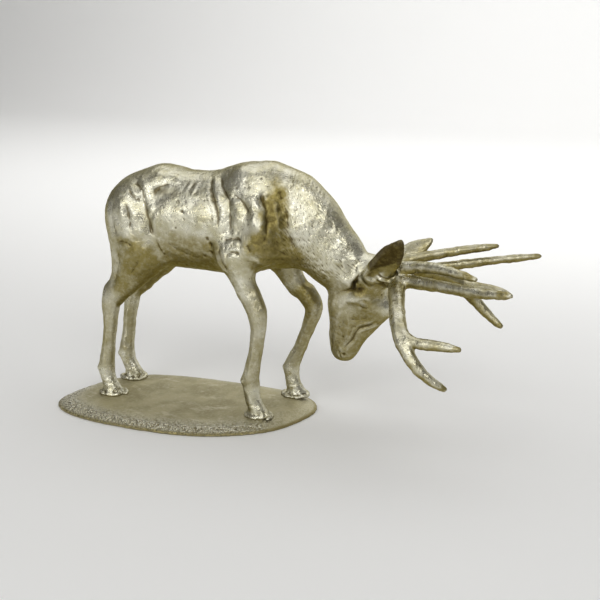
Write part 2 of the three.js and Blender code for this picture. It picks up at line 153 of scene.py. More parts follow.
def pits(points, spacing, radius, share, seed):
    """1 in the middle of each scattered pit and 0 away from it."""
    deepest = np.zeros(len(points))
    home = np.floor(points / spacing)
    for shift in np.ndindex(3, 3, 3):
        cell = home + shift - 1
        middle = (cell + [0.5, 0.5, 0.5]) * spacing
        for axis in range(3):
            middle[:, axis] += (chance(cell, seed + axis) - 0.5) * spacing * 0.8
        size = radius * (0.6 + 0.8 * chance(cell, seed + 3))
        near = np.exp(-(np.linalg.norm(points - middle, axis=1) / size) ** 2)
        deepest = np.maximum(deepest, near * (chance(cell, seed + 4) < share))
    return deepest


def nearest_on(points, path):
    """How far each point lies from a path, and how far along the path (0 to 1) that is."""
    path = np.asarray(path, float)
    runs = np.linalg.norm(np.diff(path, axis=0), axis=1)
    starts = np.concatenate([[0], np.cumsum(runs)])
    closest = np.full(len(points), 1e9)
    along = np.zeros(len(points))
    for start, end, begun, run in zip(path[:-1], path[1:], starts, runs):
        t = np.clip((points - start) @ (end - start) / run**2, 0, 1)
        away = np.linalg.norm(points - start - t[:, None] * (end - start), axis=1)
        nearer = away < closest
        closest[nearer] = away[nearer]
        along[nearer] = ((begun + t * run) / starts[-1])[nearer]
    return closest, along


class Modelling:
    """The surface while it is being modelled: its points, normals and what has been cut into it."""

    RUN_OUT = 0.22              # share of a crease's length over which either end fades
    DARK_CREASE = 2.2           # depth in mm from which a crease counts as wholly hollow
    DARK_DENT = 1.6             # and a dent

    def __init__(self, piece):
        self.piece = piece
        self.edges = read(piece.data.edges, "vertices", 2, np.int32)
        self.points = places(piece)
        self.hollow = np.zeros(len(self.points))
        self.look()

    def look(self):
        """Takes the normals afresh from the moved points."""
        put_back(self.piece, self.points)
        self.normals = read(self.piece.data.vertex_normals, "vector", 3).astype(float)

    def move(self, amount):
        self.points = self.points + self.normals * amount[:, None]

    def below(self, surface):
        """How far each point lies under a smoother surface, along its normal."""
        return np.einsum("ij,ij->i", surface - self.points, self.normals)

    def cut(self, path, width, depth, where=1.0, lip=0.28, line=0.4, at=None):
        """A crease pressed in along a path: a soft valley with a finer line in its floor, and a
        little metal raised along both edges. A path of forward and up cuts both sides."""
        at = self.points if at is None else at
        if np.shape(path)[1] == 2:
            at = at[:, [0, 2]]
        low = np.min(path, axis=0) - width * 4
        high = np.max(path, axis=0) + width * 4
        inside = np.flatnonzero(np.all((at > low) & (at < high), axis=1))
        away, along = nearest_on(at[inside], path)
        away = np.abs(away + width * 0.35 * noise(self.points[inside], 5.0, 31))
        fade = step(along, -0.001, self.RUN_OUT) * step(along, 1.001, 1 - self.RUN_OUT)
        fade = fade * (where[inside] if np.ndim(where) else where)
        fade = fade * (0.75 + 0.35 * noise(self.points[inside], 9.0, 32))
        valley = np.exp(-((away / width) ** 2)) * fade
        floor = np.exp(-((away / (width * 0.36)) ** 2)) * fade
        ridge = np.exp(-(((away - width * 1.9) / (width * 0.8)) ** 2)) * fade
        shift = depth * (lip * ridge - (1 - line) * valley - line * floor)
        self.points[inside] += self.normals[inside] * shift[:, None]
        # The floor of a crease is marked hollow, and the finish paints it dark as shade.
        if depth > 0:
            dark = floor * min(1, depth / self.DARK_CREASE)
            self.hollow[inside] = np.maximum(self.hollow[inside], dark)

    def lump(self, middle, radii, height, where=1.0, at=None):
        """A rounded swelling, or a dent where height is negative."""
        at = self.points if at is None else at
        swell = np.exp(-(np.linalg.norm((at - middle) / radii, axis=1) ** 2))
        self.move(height * swell * where)
        # A dent is marked hollow, and the finish paints it dark as shade.
        if height < 0:
            self.hollow = np.maximum(self.hollow, swell * where * min(1, -height / self.DARK_DENT))

    def lumps(self, forms, side, where=1.0, at=None):
        """The lumps of a table on one side of the stag: middle, radii and height of each."""
        for (forward, outward, up), radii, height in forms.values():
            self.lump((forward, side * outward, up), radii, height, where, at)


stag = copy_of("stag", "stag_casting")
modify(stag, "SUBSURF", levels=2, render_levels=2)

# The hooves are drawn in to a true oval, and the braze lies round each in a heap of small lumps.
HOOF_MIDDLES = [(-83, -32), (-87, 20), (88, -34), (98, 35)]     # forward and outward, in mm
HOOF_AHEAD = 1                  # how far an oval's middle lies before the hoof's, in mm
HOOF_RADII = [9.2, 7.6]         # half length and half width of the oval
LEFT_OUTSIDE = 0.35             # share that is kept of what stood outside the oval
HEAP_RADII = (11.8, 9.6)        # half length and half width of the heap
HEAP_INNER, HEAP_SPREAD = 0.8, 0.44     # its lumps lie from 0.8 to 1.24 of those
BRAZE_LUMPS = 46
SMALLEST_LUMP, LUMP_SPREAD = 1.3, 0.9   # their radii go from 1.3 to 2.2 mm
GOLDEN_TURN, GOLDEN_SHARE = 2.4, 0.618  # steps that never fall in line

points = places(stag)
for foot_forward, foot_outward in HOOF_MIDDLES:
    from_middle = (points[:, :2] - [foot_forward + HOOF_AHEAD, foot_outward]) / HOOF_RADII
    reach = np.maximum(np.hypot(*from_middle.T), 0.01)
    drawn_in = np.where(reach > 1, (1 + LEFT_OUTSIDE * (reach - 1)) / reach, 1)
    share = step(points[:, 2], 13, 8) * (reach < 2.4)
    points[:, :2] += from_middle * HOOF_RADII * ((drawn_in - 1) * share)[:, None]
put_back(stag, points)
bpy.ops.object.mode_set(mode="EDIT")
for foot, (foot_forward, foot_outward) in enumerate(HOOF_MIDDLES):
    for lump in range(BRAZE_LUMPS):
        angle = lump * GOLDEN_TURN + foot
        reach = HEAP_INNER + HEAP_SPREAD * math.sqrt((lump * GOLDEN_SHARE + 0.3 * foot) % 1)
        radius = SMALLEST_LUMP + LUMP_SPREAD * ((lump * 0.755) % 1)
        bpy.ops.mesh.primitive_ico_sphere_add(subdivisions=2, radius=radius / 1000, location=(
            (foot_forward + HOOF_AHEAD + HEAP_RADII[0] * reach * math.cos(angle)) / 1000,
            (foot_outward + HEAP_RADII[1] * reach * math.sin(angle)) / 1000 + MIDDLE,
            (0.4 * radius + 2.6 * (HEAP_INNER + HEAP_SPREAD - reach)) / 1000 + PLATE_TOP,
        ))
bpy.ops.object.mode_set(mode="OBJECT")
modify(stag, "REMESH", mode="VOXEL", voxel_size=STAG_GRAIN)
work = Modelling(stag)

# The trunk, neck and head are drawn smooth, and the legs and antlers get back the girth
# that rounding their sides took from them.
TRUNK_SOFTNESS, LIMB_SOFTNESS, BRAZE_SOFTNESS = 0.5, 0.12, 0.04
GIRTH_BACK = 0.42
forward, outward, up = work.points.T
antler = step(forward, 204, 214) * step(up, 60, 78)
leg = step(up, 132, 108) * step(forward, 146, 138)
ear = step(np.abs(outward), 22, 26) * step(forward, 186, 192) * step(up, 146, 150)
thin = np.clip(antler + leg + ear, 0, 1)
braze = step(up, 9, 5)
softness = (TRUNK_SOFTNESS * (1 - thin) + LIMB_SOFTNESS * thin) * (1 - braze) + BRAZE_SOFTNESS * braze
work.points = relaxed(work.points, work.edges, softness, 34)
work.look()
work.move(GIRTH_BACK * np.clip(antler + leg, 0, 1))

# The belly and the withers are set higher, and the right fore hoof further back.
BELLY_UP, WITHERS_UP, HOOF_BACK = 2.6, 2.4, 3.2
belly = np.exp(-(((forward - 14) / 46) ** 2)) * step(up, 168, 146) * step(up, 128, 138) * (forward < 62)
withers = np.exp(-np.hypot((forward - 60) / 14, (up - 244) / 12) ** 2)
pastern = step(up, 34, 12) * (forward > 60) * (outward < 0)
work.points = work.points + np.outer(belly, [0, 0, BELLY_UP]) + np.outer(withers, [0, 0, WITHERS_UP])
work.points = work.points + np.outer(pastern, [-HOOF_BACK, 0, 0])
work.look()

# Creases between the muscles, the same on both sides: forward and up, then width and depth.
creases = {
    "front of the thigh": ([(-51, 227), (-42, 223), (-37, 219), (-34, 210), (-31, 202), (-27, 189),
                            (-25, 179), (-20, 170)], 3.2, 2.0),
    "foot of that crease": ([(-23, 175), (-19, 167), (-16, 158), (-9, 149)], 4.4, 1.5),
    "root of that crease": ([(-49, 226), (-42, 222), (-38, 217)], 3.4, 1.5),
    "rump": ([(-52, 220), (-47, 215), (-42, 211), (-36, 209)], 1.5, 1.6),
    "between the thigh muscles": ([(-51, 210), (-50, 204), (-48, 196), (-46, 187), (-48, 178)], 2.5, 2.0),
    "back of the thigh": ([(-66, 212), (-68, 196), (-67, 182), (-62, 170)], 3.4, 1.5),
    "under the thigh muscle": ([(-63, 166), (-56, 168), (-50, 167), (-44, 163)], 2.8, 1.3),
    "gaskin": ([(-62, 160), (-64, 145), (-70, 128), (-76, 116)], 2.8, 1.1),
    "stifle": ([(-27, 190), (-22, 199), (-19, 204)], 2.6, 0.9),
    "front of the gaskin": ([(-34, 160), (-42, 145), (-52, 132)], 3.0, 1.2),
    "hip hollow's edge": ([(-25, 212), (-24, 219), (-20, 223), (-14, 225), (-7, 226)], 2.6, 1.7),
    "loin": ([(-3, 225), (1, 226), (5, 225)], 1.6, 0.9),
    "first behind the shoulder": ([(31, 236), (33, 231), (36, 223), (41, 215), (46, 206), (48, 197),
                                   (47, 188)], 1.9, 1.9),
    "second behind the shoulder": ([(40, 240), (41, 235), (46, 228), (52, 222), (58, 216), (60, 207),
                                    (61, 198), (61, 187), (58, 180)], 2.9, 1.9),
    "fold between those two": ([(42, 228), (44, 219)], 1.0, 0.9),
    "shoulder blade": ([(58, 221), (63, 220), (70, 218), (77, 211), (82, 205)], 3.0, 1.5),
    "shoulder blade's upper dent": ([(71, 236), (76, 231), (79, 227)], 3.0, 1.1),
    "withers": ([(94, 246), (94, 241), (95, 236)], 2.6, 0.8),
    "shoulder and neck": ([(89, 229), (93, 218), (98, 209), (101, 199), (101, 188), (99, 182)], 3.6, 3.8),
    "breast's upper notch": ([(106, 227), (108, 218)], 3.0, 1.6),
    "edge of the coat": ([(113, 212), (116, 200), (117, 190), (120, 178), (126, 168)], 2.6, 1.3),
    "upper elbow fold": ([(51, 176), (56, 178), (62, 180), (71, 181), (76, 178)], 1.8, 0.9),
    "elbow hollow": ([(81, 177), (83, 173), (85, 169)], 3.0, 1.4),
    "lower elbow fold": ([(58, 161), (60, 165), (66, 168), (75, 167)], 2.0, 1.1),
    "elbow": ([(50, 175), (50, 166), (54, 156), (60, 146)], 2.4, 1.5),
    "brisket": ([(86, 168), (94, 163), (104, 160), (114, 160)], 3.0, 0.9),
    "lower breast": ([(104, 176), (110, 168), (116, 163)], 2.6, 0.9),
    "flank": ([(-12, 172), (0, 162), (14, 156), (30, 155)], 3.6, 0.9),
}
trunk = step(up, 112, 130) * (forward < 150)
for path, width, depth in creases.values():
    work.cut(path, width, depth, where=trunk)
work.look()

# Metal left proud between the creases: folds of skin, the hip bone and the ridge of the breast.
folds = {
    "fold behind the shoulder": ([(37, 235), (41, 226), (47, 216), (53, 206), (54, 194)], 3.0, 1.5),
    "fold on the shoulder": ([(52, 237), (58, 228), (65, 224)], 2.8, 1.0),
    "hip bone": ([(-32, 231), (-20, 234), (-8, 232), (4, 228)], 3.2, 1.3),
    "rear thigh muscle": ([(-57, 210), (-56, 198), (-53, 184)], 3.2, 1.6),
    "front thigh muscle": ([(-44, 206), (-40, 196), (-36, 184), (-34, 172)], 3.8, 1.5),
    "shoulder muscle": ([(66, 213), (70, 204), (72, 194)], 4.5, 1.4),
    "front of the shoulder": ([(78, 224), (84, 214), (87, 203), (87, 192)], 4.0, 1.5),
    "ridge of the breast": ([(101, 222), (105, 212), (108, 200), (109, 186), (112, 174)], 2.8, 2.0),
    "elbow's upper roll": ([(57, 173), (64, 177), (73, 174)], 2.4, 0.9),
    "elbow's lower roll": ([(61, 170), (74, 171)], 1.9, 0.9),
    "forearm": ([(62, 158), (68, 145), (74, 130)], 3.4, 0.9),
}
for path, width, height in folds.values():
    work.cut(path, width, -height, where=trunk, lip=0.2, line=0.15)
work.look()

# Ribs as faint slanting ripples high on the flank, unevenly set.
RIBS, RIB_GAP, RIB_WIDTH, RIB_DEPTH = 6, 4.6, 1.7, 0.62
for rib in range(RIBS):
    start = 7 + rib * RIB_GAP + 1.3 * math.sin(rib * 2.3)
    foot_up = 218 + 2.5 * math.sin(rib * 1.7)
    rib_path = [(start - 2, foot_up), (start + 1, 225), (start + 4, 231 + math.sin(rib * 3.1))]
    work.cut(rib_path, RIB_WIDTH, RIB_DEPTH, where=trunk, lip=0.45, line=0.1)

# Dents and knobs: the middle (forward, outward, up) on the left side, the radii and the height.
knobs = {
    "hip hollow": ((-17, 36, 219), (8, 14, 4.6), -1.7),
    "hind flank": ((-6, 40, 196), (16, 12, 12), 0.7),
    "barrel": ((22, 40, 202), (20, 12, 10), 0.8),
    "sand hole": ((9, 40, 202), (1.5, 9, 1.3), -1.3),
    "wart on the flank": ((-1, 40, 184), (2.6, 9, 2.4), 0.9),
    "hole behind the elbow": ((39, 36, 172), (1.9, 10, 2.4), -2.0),
    "hole under that": ((39, 36, 164), (2.4, 10, 1.5), -1.7),
    "hole over that": ((36, 36, 177), (1.8, 10, 1.8), -1.2),
    "dent of the belly": ((30, 30, 158), (3.0, 10, 1.6), -1.0),
    "pit of the shoulder groove": ((99, 40, 183), (3.0, 14, 3.6), -1.6),
    "dip of the shoulder": ((84, 38, 184), (9, 12, 8), -0.9),
    "front of the withers": ((88, 30, 244), (7, 14, 5), 0.9),
    "withers": ((58, 10, 240), (13, 16, 8), 1.6),
}
for side in (-1, 1):
    work.lumps(knobs, side)
work.look()

# The coat of the neck: short engraved strokes that run down and forward, in uneven rows.
COAT_LENGTH = 11                # of a stroke with the gap after it, in mm
COAT_ROW = 2.3                  # from one row to the next
COAT_STROKE = 0.66              # half the width of a stroke
COAT_DEPTH = 0.52               # in mm


def coat(points, slope, seed):
    """1 along the middle of each short stroke and 0 between them."""
    run = np.stack([np.cos(slope), -np.sin(slope)], axis=1)
    along = points[:, 0] * run[:, 0] + points[:, 1] * run[:, 1]
    across = points[:, 0] * -run[:, 1] + points[:, 1] * run[:, 0]
    across = across + 1.2 * noise(points, 14.0, seed + 9)
    home = np.floor(across / COAT_ROW)
    deepest = np.zeros(len(points))
    for shift in (-1, 0, 1):
        row = home + shift
        offset = chance(row[:, None], seed) * COAT_LENGTH
        for nearby in (-1, 0, 1):
            cell = np.floor((along + offset) / COAT_LENGTH) + nearby
            names = np.stack([row, cell], axis=1)
            middle = (cell + 0.5 + 0.4 * (chance(names, seed + 1) - 0.5)) * COAT_LENGTH - offset
            line = (row + 0.5 + 0.5 * (chance(names, seed + 2) - 0.5)) * COAT_ROW
            half = COAT_LENGTH * (0.36 + 0.26 * chance(names, seed + 3))
            lean = 0.28 * (chance(names, seed + 4) - 0.5)
            reach = along - middle
            stroke = np.clip(1 - (reach / half) ** 2, 0, 1)
            stroke = stroke * np.exp(-(((across - line - lean * reach) / COAT_STROKE) ** 2))
            deepest = np.maximum(deepest, stroke * (0.55 + 0.45 * chance(names, seed + 5)))
    return deepest


# The coat ends at the ruff, over the cheek.
ruff_edge = [(196, 166), (190, 158), (182, 151), (179, 145), (177, 139), (168, 135), (158, 131),
             (147, 126)]
edge_line = np.asarray(ruff_edge[::-1], float)
forward, outward, up = work.points.T
side_places = work.points[:, [0, 2]]
neck = step(forward, 102, 114) * step(up - np.interp(forward, *edge_line.T), -1, 3)
neck = neck * step(forward + 0.45 * up, 254, 246) * step(up + 0.9 * forward, 258, 276)
slope = np.radians(56 - 12 * step(forward, 108, 170))
for side, seed in ((-1, 11), (1, 23)):
    strokes = coat(side_places, slope, seed) * neck * step(side * outward, 0.0, 4.0)
    work.move(-COAT_DEPTH * strokes)
    work.hollow = np.maximum(work.hollow, 0.3 * strokes)
work.look()

# The head is turned and leans a little, so its features are placed as if it were straight.
POLL = np.array([188.0, 0.0, 150.0])
HEAD_TURN = math.radians(-4.0)
HEAD_ROLL = math.radians(3.0)


def straightened(points):
    """The points turned about the poll, so that the head faces straight forward."""
    cos_turn, sin_turn = math.cos(-HEAD_TURN), math.sin(-HEAD_TURN)
    cos_roll, sin_roll = math.cos(-HEAD_ROLL), math.sin(-HEAD_ROLL)
    forward, outward, up = (points - POLL).T
    forward, outward = cos_turn * forward - sin_turn * outward, sin_turn * forward + cos_turn * outward
    outward, up = cos_roll * outward - sin_roll * up, sin_roll * outward + cos_roll * up
    return np.stack([forward, outward, up], axis=1) + POLL


# The ruff: the coat of the neck ends in ragged tufts that stand over the cheek. They are boldest
# and most deeply undercut at one notch.
NOTCH_ALONG, NOTCH_REACH = 0.44, 0.12   # where the notch lies, as shares of the edge's length
RUFF_HEIGHT, NOTCH_HEIGHT = 0.3, 1.4    # how far the tufts stand out, and how much more there
RUFF_DEPTH, NOTCH_DEPTH = 0.15, 2.65    # and how deep the metal is cut away under them
face = straightened(work.points)
away, along = nearest_on(face[:, [0, 2]], ruff_edge)
edge_up = np.interp(face[:, 0], *edge_line.T)
ragged = 1.3 * noise(face, 6.0, 33) + 0.8 * noise(face, 2.8, 34)
shelf = np.exp(-((away / 7) ** 2)) * step(along, 0.55, 0.7) * (face[:, 2] > 100)
work.points = relaxed(work.points, work.edges, 0.6 * shelf, 50)
signed = away * np.sign(face[:, 2] - edge_up) + ragged
ruff = step(face[:, 0], 142, 152) * step(face[:, 0], 203, 196) * (np.abs(face[:, 1]) < 34)
notch = np.exp(-(((along - NOTCH_ALONG) / NOTCH_REACH) ** 2))
tuft = np.where(signed > 0, np.exp(-((signed / 8) ** 2)), step(signed, -1.4, 0))
under_tuft = np.exp(-(((signed + 2.4) / 1.9) ** 2))
out = (RUFF_HEIGHT + NOTCH_HEIGHT * notch) * tuft
work.move(ruff * (out - (RUFF_DEPTH + NOTCH_DEPTH * notch) * under_tuft))
# The undercut at the notch is marked fully hollow, so the finish paints it near black as a painted
# shadow.
work.hollow = np.maximum(work.hollow, np.minimum(1, 1.5 * under_tuft * ruff * notch))
work.look()
tufts = {
    "upper tuft": ((180, 17, 164), (5, 9, 4), 1.6),
    "middle tuft": ((183, 18, 156), (3.2, 9, 4), 1.5),
    "lower tuft": ((171, 19, 143), (6, 10, 5), 1.5),
    "hollow behind them": ((166, 18, 158), (4, 9, 5), -1.1),
}
for side in (-1, 1):
    work.lumps(tufts, side)
work.look()

# The face: brow, eye, tear line, mouth, forehead, nose and nostril.
face = straightened(work.points)
head = step(face[:, 0], 140, 146) * step(face[:, 2], 152, 146) * step(face[:, 0], 214, 208)
eye_forms = {
    "pit under the ruff": ((186, 20, 139), (6, 9, 4.6), -2.2),
    "brow": ((179, 18, 126), (8, 9, 4.6), 1.6),
    "eye socket": ((191, 17, 123.5), (5.0, 8, 4.4), -1.1),
    "eyeball": ((191, 17, 123.5), (2.7, 8, 2.6), 1.9),
}
face_lines = {                  # path, width, depth, lip and line
    "upper lid": ([(185.5, 124), (187.5, 127), (191, 128.2), (195.5, 126)], 1.1, 0.6, 0.5, 0.4),
    "lower lid": ([(186, 122), (189, 119.6), (193, 119.4), (196, 121)], 1.1, 0.5, 0.4, 0.4),
    "tear line": ([(173, 106), (180, 105), (189, 107), (194, 110)], 2.4, 0.7, 0.4, 0.4),
    "mouth": ([(203, 105), (193, 99.5), (183, 96), (179, 91), (175, 83), (168, 75), (163, 71)],
              1.6, 1.2, 0.8, 0.4),
    "side of the nose": ([(172, 122), (169, 108), (166, 92), (163, 78)], 3.0, 0.7, 0.8, 0.1),
    "forehead": ([(166, 128), (163, 118), (165, 110)], 2.6, 0.6, 0.28, 0.4),
    "bridge of the nose": ([(156, 88), (153, 78), (153, 68), (157, 61)], 1.4, 0.7, 0.4, 0.4),
}
muzzle_forms = {
    "nostril": ((165.5, 9, 66), (2.2, 7, 1.7), -1.5),
    "wing of the nostril": ((163, 11, 71), (3.4, 7, 4.0), 0.8),
    "plane of the nose": ((161, 12, 98), (4.5, 9, 12.0), -0.8),
    "upper lip": ((170, 12, 90), (4.0, 9, 9.0), 0.7),
}
for side in (-1, 1):
    cheek = head * (side * face[:, 1] > 1)
    work.lumps(eye_forms, side, cheek, face)
    for path, width, depth, lip, line in face_lines.values():
        work.cut(path, width, depth, cheek, lip, line, face)
    work.lumps(muzzle_forms, side, cheek, face)
nose_tip = head * (np.abs(face[:, 1]) > 3)
work.cut([(161, 72), (161.5, 66), (162, 60)], 1.1, 0.9, nose_tip, 0.3, at=face)
work.look()

# The ears: the right one is broad and upright; folds of cartilage lie at the roots.
EAR_BROADER = 0.22              # share added to the right ear's breadth
EAR_SHIFT = [4.5, 0, 0]         # of the whole right ear, in mm
EAR_TIP_SHIFT = [-2.5, 0.5, 1.5]
face = straightened(work.points)
ear_root, ear_tip = np.array([194, -18, 147]), np.array([235, -41, 195])
ear_run = (ear_tip - ear_root) / np.linalg.norm(ear_tip - ear_root)
ear_width = np.cross([0.35, -0.9, -0.2], ear_run)
ear_width = ear_width / np.linalg.norm(ear_width)
ear_axis, ear_along = nearest_on(face, [ear_root, ear_tip])
right_ear = (face[:, 1] < -19) * step(ear_along, 0.12, 0.4) * (ear_axis < 17)
across = (face - ear_root) @ ear_width
wider = np.outer(EAR_BROADER * across * right_ear, ear_width)
work.points = work.points + wider + np.outer(right_ear, EAR_SHIFT)
work.points = work.points + np.outer(right_ear * ear_along, EAR_TIP_SHIFT)
work.look()
for side in (-1, 1):
    root = (side * face[:, 1] > 12) * step(face[:, 0], 196, 202)
    work.cut([(205, 156), (210, 153), (216, 153)], 1.3, 1.0, root, 0.6, at=face)
    work.cut([(204, 150), (209, 147), (215, 147)], 1.3, 1.1, root, 0.6, at=face)
    work.lump((209, side * 19, 143.5), (5.0, 9, 3.8), -3.2, root, face)
work.look()

# The antlers: long shallow flutes along each rod, rough burrs at the roots, and dents.
# Each rod has its route, its girth, and how far the right one's tip hangs lower than the left.
FLUTE_DEPTH, FLUTES_ROUND = 0.15, 5
BURR_HEIGHT = 1.1
rods = {
    "main beam": ([(204, 9, 150), (220, 13, 152), (227, 27, 145), (236, 51, 139), (247, 75, 126),
                   (258, 88, 112), (272, 91, 96), (284, 89, 86), (295, 86, 80)], 7.7, 0),
    "upper prong": ([(246, 73, 127), (256, 82, 119), (276, 86, 119), (292, 88, 120),
                     (308, 89, 120)], 5.0, 0),
    "long tine": ([(206, 10, 151), (222, 15, 151), (240, 20, 153), (268, 32, 157), (300, 47, 161),
                   (324, 57, 163.5), (336, 61, 165)], 5.6, 4),
    "short tine": ([(208, 11, 156), (224, 14, 162), (240, 19, 166), (262, 28, 170), (284, 40, 173),
                    (300, 47, 174.5)], 5.4, 0),
}
drawn = {                       # from where a tine is drawn out, its tip, and the tip's shift
    "right long tine": ((300, -47, 157), (338, -61, 162), (6.5, -2.0, 3.2)),
    "right short tine": ((262, -28, 170), (300, -47, 174.5), (7.0, 0.5, -4.5)),
    "left upper prong": ((262, 84, 119), (310, 89, 120), (-5.0, 0.0, -8.0)),
}
for thick_end, tip, shift in drawn.values():
    face = straightened(work.points)
    away, along = nearest_on(face, [thick_end, tip])
    work.points = work.points + np.outer(along * along * (away < 9), shift)
work.look()
face = straightened(work.points)
mirrored = np.stack([face[:, 0], np.abs(face[:, 1]), face[:, 2]], axis=1)
antler = step(face[:, 0], 205, 214) * step(face[:, 2], 62, 70)
best = np.full(len(face), 1e9)
flutes = np.zeros(len(face))
for route, girth, right_drop in rods.values():
    _, along = nearest_on(mirrored, route)
    lifted = mirrored + np.outer(right_drop * along * (face[:, 1] < 0), [0, 0, 1])
    away, along = nearest_on(lifted, route)
    route = np.asarray(route, float)
    heading = route[-1] - route[0]
    heading = heading / np.linalg.norm(heading)
    sideways = np.cross(heading, [0.2, 0.1, 1.0])
    sideways = sideways / np.linalg.norm(sideways)
    third = np.cross(heading, sideways)
    lengths = np.concatenate([[0], np.cumsum(np.linalg.norm(np.diff(route, axis=0), axis=1))])
    reached = along * lengths[-1]
    middles = np.stack([np.interp(reached, lengths, column) for column in route.T], axis=1)
    turn = np.arctan2((lifted - middles) @ third, (lifted - middles) @ sideways)
    wave = np.cos(FLUTES_ROUND * turn + 2.6 * noise(mirrored, 26.0, 41))
    wave = wave * (0.6 + 0.4 * noise(mirrored, 12.0, 42))
    closer = away / girth < best
    flutes[closer] = wave[closer]
    best[closer] = (away / girth)[closer]
relief = FLUTE_DEPTH * flutes + 0.46 * noise(work.points, 7.0, 43)
work.move(antler * (relief + 0.26 * noise(work.points, 3.2, 44)))
for side in (-1, 1):
    root = np.linalg.norm((face - [206, side * 10, 151]) / [8, 9, 8], axis=1)
    burr = np.exp(-((root - 1.15) / 0.25) ** 2) * antler
    work.move(burr * BURR_HEIGHT * noise(work.points, 2.6, 45))
work.look()

# The legs: sinews down the shanks, soft dents, a faint line over each hoof, and rough braze.
CORONET_UP = 13.2               # how high the line over each hoof runs, in mm
shanks = {
    "right hind": [(-82, -29, 92), (-84, -30, 64), (-87, -30, 44), (-89, -31, 30)],
    "left hind": [(-88, 24, 90), (-91, 22, 62), (-93, 21, 44), (-95, 20, 30)],
    "right fore": [(87, -34, 100), (87, -34, 86), (83, -34, 62), (78, -34, 40)],
    "left fore": [(119, 34, 92), (111, 35, 72), (102, 36, 50), (93, 37, 34)],
}
for route in shanks.values():
    for side in (-1, 1):
        sinew = np.asarray(route, float) + [-4.0, side * 7.0, 0]
        work.cut(sinew, 1.5, 0.95, lip=0.5)
        bone = np.asarray(route, float) + [3.0, side * 6.5, 0]
        work.cut(bone, 1.8, 0.5, lip=0.4)
forward, outward, up = work.points.T
leg = step(up, 136, 112) * (forward < 140)
work.move(leg * (0.34 * noise(work.points, 9.0, 51) + 0.16 * noise(work.points, 3.6, 52)))
foot = step(up, 8.0, 4.5)
work.move(foot * (0.2 + 0.75 * noise(work.points, 3.6, 53) + 0.45 * noise(work.points, 2.2, 54)))
over_coronet = up - CORONET_UP - 0.9 * noise(work.points, 6.0, 55)
coronet = np.exp(-((over_coronet / 0.9) ** 2)) * leg
work.move(-0.35 * coronet)
work.hollow = np.maximum(work.hollow, 0.2 * coronet)
# The gaps between the lumps of braze are marked hollow, and the finish paints them dark as shade.
braze_gaps = foot * step(noise(work.points, 3.0, 56), 0.15, 0.6)
work.hollow = np.maximum(work.hollow, 0.7 * braze_gaps * step(up, 6, 4))
work.look()

# The founder's surface: soft dents over the whole casting and pits left by the sand.
PIT_DEPTH = 0.75
face = straightened(work.points)
calm = 1 - 0.6 * step(face[:, 0], 146, 154) * step(face[:, 2], 150, 138) * step(face[:, 0], 212, 204)
work.move(0.26 * noise(work.points, 10.0, 61) + 0.2 * calm * noise(work.points, 5.0, 62))
work.move(0.1 * calm * noise(work.points, 2.7, 63))
under = step(-work.normals[:, 2], -0.05, 0.6)
holes = pits(work.points, spacing=7.0, radius=0.9, share=0.28, seed=70)
clusters = step(noise(work.points, 16.0, 84), 0.0, 0.5)
deep = pits(work.points, spacing=4.5, radius=0.8, share=0.5, seed=80) * clusters * under
holes = np.maximum(holes * 0.8, deep)
work.move(-PIT_DEPTH * holes)
# The pits are marked hollow, and the finish paints them dark as shade.
work.hollow = np.maximum(work.hollow, holes)
work.points[:, 2] = np.maximum(work.points[:, 2], 0.0)
work.look()

# What the finish follows: how hollow or proud the surface is at two scales, and its tarnish with painted
# light.
near_mean = relaxed(work.points, work.edges, 0.7, 4)
far_mean = relaxed(near_mean, work.edges, 0.7, 36)
fine = work.below(near_mean)
broad = np.einsum("ij,ij->i", far_mean - near_mean, work.normals)


def give(piece, name, values):
    """Stores one number for each point of the piece under a name the finish can read."""
    piece.data.attributes.new(name, "FLOAT", "POINT").data.foreach_set("value", values.astype(np.float32))


# Brown tarnish that was never polished off, and painted shade in the grooves, pits and hollows and under
# the belly, chest and rump: forward, up, half length, half height and strength.
tarnish_and_shade_patches = {
    "groove before the shoulder": (103, 203, 12, 30, 1.3),
    "shoulder groove's foot": (98, 178, 22, 16, 1.25),
    "chest": (109, 162, 24, 14, 1.1),
    "elbow pit": (38, 168, 14, 12, 0.9),
    "lower flank": (4, 164, 42, 17, 0.75),
    "belly": (12, 152, 50, 15, 0.9),
    "stifle and inner thigh": (-36, 142, 30, 30, 1.0),
    "under the rump": (-54, 168, 12, 7, 0.8),
    "gaskin": (-60, 118, 16, 24, 0.85),
    "hind shanks": (-88, 66, 12, 30, 0.5),
    "bent knee": (112, 105, 18, 28, 0.95),
    "forearm": (92, 134, 16, 24, 0.6),
    "straight foreleg": (84, 70, 9, 34, 0.45),
    "muzzle": (172, 86, 28, 26, 0.8),
    "antler root": (205, 144, 5, 5, 1.0),
    "cheek hollow": (184, 140, 8, 6, 0.9),
    "hip hollow": (-16, 220, 9, 5, 0.4),
}
face = straightened(work.points)
forward, outward, up = work.points.T
tarnish_and_painted_light = np.zeros(len(work.points))
for middle_forward, middle_up, half_length, half_height, strength in tarnish_and_shade_patches.values():
    away = np.hypot((forward - middle_forward) / half_length, (up - middle_up) / half_height)
    tarnish_and_painted_light = np.maximum(tarnish_and_painted_light, strength * step(away + 0.3 * noise(work.points, 9.0, 65), 1.55, 0.35))
facing = relaxed(work.normals, work.edges, 0.7, 14)
facing = facing / np.linalg.norm(facing, axis=1, keepdims=True)
downward = step(-facing[:, 2], -0.35, 0.45)
antler = step(face[:, 0], 207, 216) * step(face[:, 2], 62, 70)
leg = step(up, 132, 112) * step(up, 26, 34) * step(forward, 146, 138)
stains = step(noise(work.points, 9.0, 66), -0.2, 0.6)
